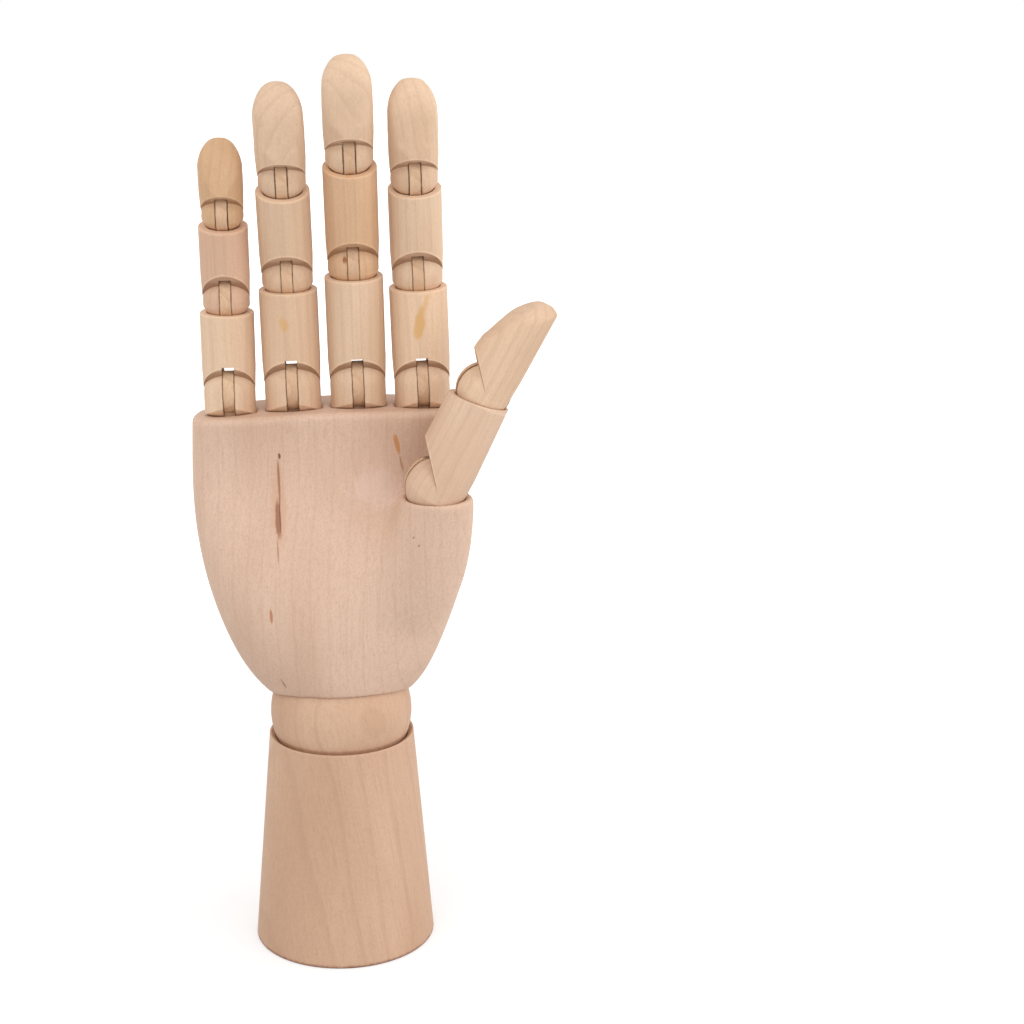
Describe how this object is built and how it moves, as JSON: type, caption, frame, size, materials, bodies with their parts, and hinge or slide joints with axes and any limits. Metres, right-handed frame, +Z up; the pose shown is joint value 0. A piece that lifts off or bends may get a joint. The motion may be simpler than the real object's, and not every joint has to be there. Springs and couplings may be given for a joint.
{
  "type": "wooden hand mannequin",
  "caption": "Jointed wooden drawing hand on a turned cone base, with a ball wrist held by a hidden spring and fingers that bend at pinned knuckles.",
  "frame": {"origin": "centre of the base's underside, on the axis of the base and wrist", "axes": "+Z up along the base's axis, -Y the side the palm faces, +X the side the thumb stands on"},
  "size_m": [0.0971, 0.0548, 0.249],
  "materials": {
    "palm_wood": "sanded, unvarnished",
    "finger_wood": "sanded, unvarnished",
    "strip_wood": "sawn and sanded",
    "tan_wood": "turned and sanded",
    "steel": "drawn wire"
  },
  "bodies": {
    "base": {"base": "tan_wood"},
    "spring_core": {"tension_spring": "steel", "spring_crossbar": "steel"},
    "wrist_ball": {"wrist_ball": "tan_wood"},
    "hand": {"palm": "palm_wood", "spring_anchor_pin": "steel", "little_finger_proximal_tongue": "strip_wood", "ring_finger_proximal_tongue": "strip_wood", "middle_finger_proximal_tongue": "strip_wood", "index_finger_proximal_tongue": "strip_wood", "thumb_proximal_tongue": "strip_wood"},
    "little_finger_proximal": {"little_finger_proximal": "finger_wood", "little_finger_proximal_pin": "steel", "little_finger_middle_tongue": "strip_wood"},
    "little_finger_middle": {"little_finger_middle": "finger_wood", "little_finger_middle_pin": "steel", "little_finger_distal_tongue": "strip_wood"},
    "little_finger_distal": {"little_finger_distal": "finger_wood", "little_finger_distal_pin": "steel"},
    "ring_finger_proximal": {"ring_finger_proximal": "finger_wood", "ring_finger_proximal_pin": "steel", "ring_finger_middle_tongue": "strip_wood"},
    "ring_finger_middle": {"ring_finger_middle": "finger_wood", "ring_finger_middle_pin": "steel", "ring_finger_distal_tongue": "strip_wood"},
    "ring_finger_distal": {"ring_finger_distal": "finger_wood", "ring_finger_distal_pin": "steel"},
    "middle_finger_proximal": {"middle_finger_proximal": "finger_wood", "middle_finger_proximal_pin": "steel", "middle_finger_middle_tongue": "strip_wood"},
    "middle_finger_middle": {"middle_finger_middle": "finger_wood", "middle_finger_middle_pin": "steel", "middle_finger_distal_tongue": "strip_wood"},
    "middle_finger_distal": {"middle_finger_distal": "finger_wood", "middle_finger_distal_pin": "steel"},
    "index_finger_proximal": {"index_finger_proximal": "finger_wood", "index_finger_proximal_pin": "steel", "index_finger_middle_tongue": "strip_wood"},
    "index_finger_middle": {"index_finger_middle": "finger_wood", "index_finger_middle_pin": "steel", "index_finger_distal_tongue": "strip_wood"},
    "index_finger_distal": {"index_finger_distal": "finger_wood", "index_finger_distal_pin": "steel"},
    "thumb_proximal": {"thumb_proximal": "finger_wood", "thumb_proximal_pin": "steel", "thumb_distal_tongue": "strip_wood"},
    "thumb_distal": {"thumb_distal": "finger_wood", "thumb_distal_pin": "steel"}
  },
  "joints": [
    {"name": "wrist_swivel", "type": "hinge", "parent": "base", "child": "spring_core", "pos_m": [0, 0, 0.0678], "axis": [0, 0, 1], "continuous": true},
    {"name": "wrist_side_tilt", "type": "hinge", "parent": "spring_core", "child": "wrist_ball", "pos_m": [0, 0, 0.0678], "axis": [0, 1, 0], "range_deg": [-25, 25], "deforming": ["tension_spring"]},
    {"name": "wrist_bend", "type": "hinge", "parent": "wrist_ball", "child": "hand", "pos_m": [0, 0, 0.0678], "axis": [1, 0, 0], "range_deg": [-25, 25], "deforming": ["tension_spring"]},
    {"name": "little_finger_base_hinge", "type": "hinge", "parent": "hand", "child": "little_finger_proximal", "pos_m": [-0.0281, 0, 0.16018], "axis": [1, 0, 0], "range_deg": [-23, 67]},
    {"name": "little_finger_middle_hinge", "type": "hinge", "parent": "little_finger_proximal", "child": "little_finger_middle", "pos_m": [-0.0281, -0.0013, 0.18505], "axis": [1, 0, 0], "range_deg": [-30, 50]},
    {"name": "little_finger_tip_hinge", "type": "hinge", "parent": "little_finger_middle", "child": "little_finger_distal", "pos_m": [-0.0281, -0.00668, 0.20834], "axis": [1, 0, 0], "range_deg": [-29, 51]},
    {"name": "ring_finger_base_hinge", "type": "hinge", "parent": "hand", "child": "ring_finger_proximal", "pos_m": [-0.0113, 0, 0.16143], "axis": [0.9998, 0, 0.0209], "range_deg": [-23.5, 66.5]},
    {"name": "ring_finger_middle_hinge", "type": "hinge", "parent": "ring_finger_proximal", "child": "ring_finger_middle", "pos_m": [-0.01192, -0.00181, 0.19107], "axis": [0.9998, 0, 0.0209], "range_deg": [-38, 42]},
    {"name": "ring_finger_tip_hinge", "type": "hinge", "parent": "ring_finger_middle", "child": "ring_finger_distal", "pos_m": [-0.01248, -0.01233, 0.21777], "axis": [0.9998, 0, 0.0209], "range_deg": [-28, 52]},
    {"name": "middle_finger_base_hinge", "type": "hinge", "parent": "hand", "child": "middle_finger_proximal", "pos_m": [0.0062, 0, 0.16198], "axis": [0.9997, 0, 0.0227], "range_deg": [-26, 64]},
    {"name": "middle_finger_middle_hinge", "type": "hinge", "parent": "middle_finger_proximal", "child": "middle_finger_middle", "pos_m": [0.00546, -0.00343, 0.19459], "axis": [0.9997, 0, 0.0227], "range_deg": [-35, 45]},
    {"name": "middle_finger_tip_hinge", "type": "hinge", "parent": "middle_finger_middle", "child": "middle_finger_distal", "pos_m": [0.00479, -0.01475, 0.22409], "axis": [0.9997, 0, 0.0227], "range_deg": [-28, 52]},
    {"name": "index_finger_base_hinge", "type": "hinge", "parent": "hand", "child": "index_finger_proximal", "pos_m": [0.0235, 0, 0.16177], "axis": [0.9993, 0, 0.0366], "range_deg": [-24.5, 65.5]},
    {"name": "index_finger_middle_hinge", "type": "hinge", "parent": "index_finger_proximal", "child": "index_finger_middle", "pos_m": [0.02241, -0.00234, 0.19146], "axis": [0.9993, 0, 0.0366], "range_deg": [-33.5, 46.5]},
    {"name": "index_finger_tip_hinge", "type": "hinge", "parent": "index_finger_middle", "child": "index_finger_distal", "pos_m": [0.02143, -0.01102, 0.21817], "axis": [0.9993, 0, 0.0366], "range_deg": [-29, 51]},
    {"name": "thumb_base_hinge", "type": "hinge", "parent": "hand", "child": "thumb_proximal", "pos_m": [0.0261, -0.0195, 0.137], "axis": [0, 1, 0], "range_deg": [-80, 10]},
    {"name": "thumb_tip_hinge", "type": "hinge", "parent": "thumb_proximal", "child": "thumb_distal", "pos_m": [0.03877, -0.0195, 0.16275], "axis": [0, 1, 0], "range_deg": [-55, 10]}
  ]
}
